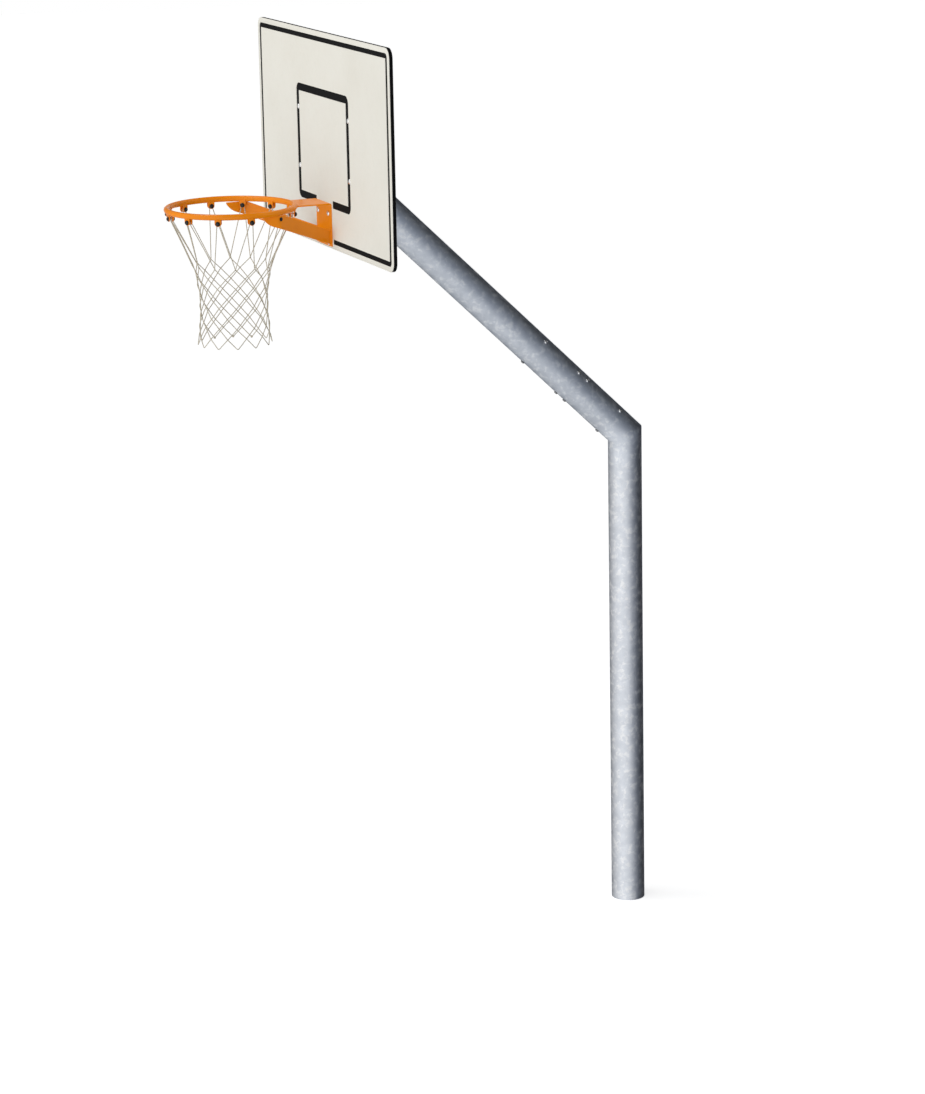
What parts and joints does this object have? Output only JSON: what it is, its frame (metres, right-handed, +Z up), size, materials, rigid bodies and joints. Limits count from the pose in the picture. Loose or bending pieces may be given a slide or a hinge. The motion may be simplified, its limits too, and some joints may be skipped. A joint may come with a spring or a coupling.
{
  "type": "basketball hoop",
  "caption": "In-ground basketball hoop: galvanised post with a sloping arm, layered plastic backboard, orange ring on a braced bracket, and a corded net.",
  "frame": {"origin": "centre of the post's foot, on its axis, at ground level", "axes": "+Z up along the post; the board faces -Y and the ring stands out towards -Y; +X is to the right of somebody facing the board"},
  "size_m": [1.4, 1.9147, 3.5622],
  "materials": {
    "galvanised_steel": "hot-dip galvanised, spangled, half matt",
    "orange_coated_steel": "glossy orange powder coat",
    "board_plastic": "fine-grained cream skins on a black core, routed lines show the core",
    "stainless_steel": "bright turned stainless",
    "black_caps": "glossy black",
    "net_cord": "twisted natural-coloured cord"
  },
  "bodies": {
    "root": {"arm_tube": "galvanised_steel", "backboard": "board_plastic", "board_bolt_lower_left": "stainless_steel", "board_bolt_lower_right": "stainless_steel", "board_bolt_upper_left": "stainless_steel", "board_bolt_upper_right": "stainless_steel", "board_nut_lower_left": "stainless_steel", "board_nut_lower_right": "stainless_steel", "board_nut_upper_left": "stainless_steel", "board_nut_upper_right": "stainless_steel", "brace_left": "orange_coated_steel", "brace_right": "orange_coated_steel", "bracket_plate": "orange_coated_steel", "elbow_stub": "galvanised_steel", "head_channel": "galvanised_steel", "head_rib_lower": "galvanised_steel", "head_rib_upper": "galvanised_steel", "net": "net_cord", "net_bolt_01": "black_caps", "net_bolt_02": "black_caps", "net_bolt_03": "black_caps", "net_bolt_04": "black_caps", "net_bolt_05": "black_caps", "net_bolt_06": "black_caps", "net_bolt_07": "black_caps", "net_bolt_08": "black_caps", "net_bolt_09": "black_caps", "net_bolt_10": "black_caps", "net_bolt_11": "black_caps", "net_bolt_12": "black_caps", "post": "galvanised_steel", "rim_ring": "orange_coated_steel", "ring_bolt_lower_left": "stainless_steel", "ring_bolt_lower_right": "stainless_steel", "ring_bolt_upper_left": "stainless_steel", "ring_bolt_upper_right": "stainless_steel", "ring_nut_lower_left": "stainless_steel", "ring_nut_lower_right": "stainless_steel", "ring_nut_upper_left": "stainless_steel", "ring_nut_upper_right": "stainless_steel", "splice_bolt_01": "stainless_steel", "splice_bolt_02": "stainless_steel", "splice_bolt_03": "stainless_steel", "splice_bolt_04": "stainless_steel", "splice_bolt_05": "stainless_steel", "splice_bolt_06": "stainless_steel", "splice_bolt_07": "stainless_steel", "splice_bolt_08": "stainless_steel", "splice_bolt_09": "stainless_steel", "splice_bolt_10": "stainless_steel", "splice_bolt_11": "stainless_steel", "splice_bolt_12": "stainless_steel", "splice_sleeve": "galvanised_steel", "wing_lower_left": "galvanised_steel", "wing_lower_right": "galvanised_steel", "wing_upper_left": "galvanised_steel", "wing_upper_right": "galvanised_steel"}
  },
  "joints": []
}
